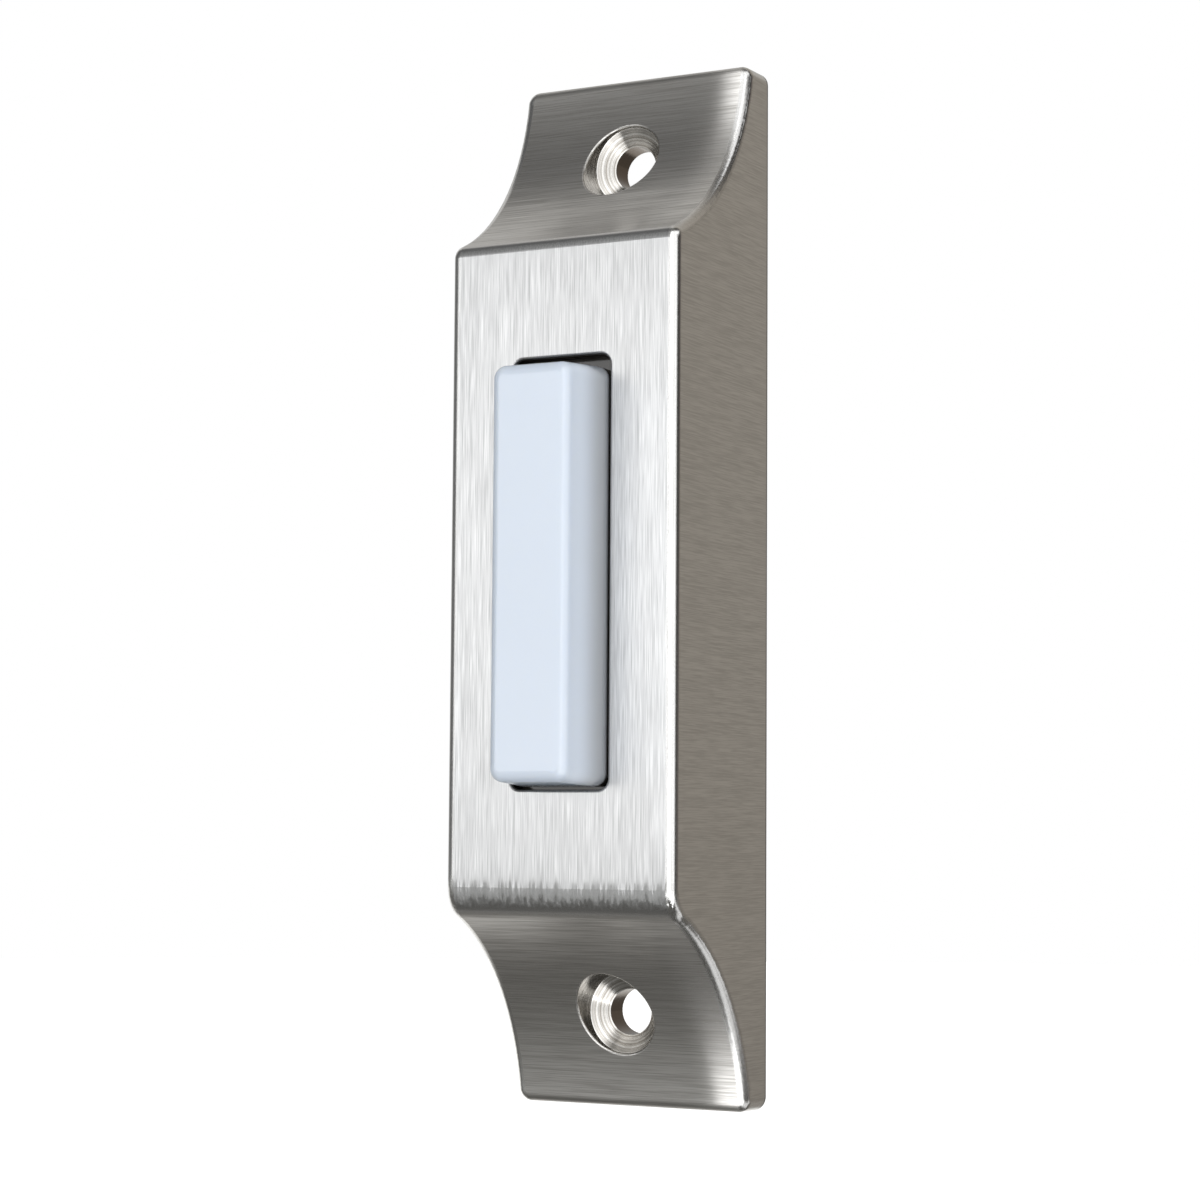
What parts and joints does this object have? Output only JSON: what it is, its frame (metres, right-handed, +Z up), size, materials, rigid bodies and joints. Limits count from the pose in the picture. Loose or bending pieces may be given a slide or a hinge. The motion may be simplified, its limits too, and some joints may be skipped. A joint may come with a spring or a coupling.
{
  "type": "doorbell push button",
  "caption": "Narrow surface-mounted doorbell push: a satin nickel cast housing with hollow-curved ends and a screw hole in each, and a sprung glossy bar button over a lit switch.",
  "frame": {"origin": "in the wall plane, at the middle of the housing's rear rim, half-way between the two screw holes", "axes": "+Z up along the housing's length, +Y into the wall, so the front and the button face -Y; +X to the right seen from in front"},
  "size_m": [0.026, 0.0264, 0.105],
  "materials": {
    "satin_nickel": "satin nickel plate, brushed along each face",
    "button_plastic": "moulded translucent white with a faint blue cast, gloss",
    "base_plastic": "moulded black thermoplastic, matt",
    "spring_steel": "drawn wire, bright",
    "screw_steel": "bright zinc plate",
    "leaf_brass": "rolled phosphor bronze, satin",
    "silver_contact": "silver, satin",
    "terminal_brass": "rolled brass, satin",
    "lamp_epoxy": "clear moulded epoxy, gloss",
    "tinned_lead": "tinned wire",
    "resistor_body": "lacquered ceramic, semi-gloss"
  },
  "bodies": {
    "housing_body": {"housing": "satin_nickel", "return_spring_upper": "spring_steel", "return_spring_lower": "spring_steel", "switch_base": "base_plastic", "base_screw_upper": "screw_steel", "base_screw_lower": "screw_steel", "contact_leaf": "leaf_brass", "leaf_contact_point": "silver_contact", "leaf_rivet": "terminal_brass", "fixed_contact_rivet": "silver_contact", "terminal_strap_upper": "terminal_brass", "terminal_strap_lower": "terminal_brass", "clamp_washer_upper": "screw_steel", "clamp_washer_lower": "screw_steel", "terminal_screw_upper": "screw_steel", "terminal_screw_lower": "screw_steel", "lamp": "lamp_epoxy", "lamp_lead_left": "tinned_lead", "lamp_lead_right": "tinned_lead", "resistor": "resistor_body", "resistor_lead_upper": "tinned_lead", "resistor_lead_lower": "tinned_lead"},
    "button": {"button_bar": "button_plastic"}
  },
  "joints": [
    {"name": "press", "type": "slide", "parent": "housing_body", "child": "button", "axis": [0, 1, 0], "range_m": [0, 0.0015], "stiffness_N_per_m": 600, "springref_m": -0.003, "deforming": ["return_spring_upper", "return_spring_lower", "contact_leaf"]}
  ]
}
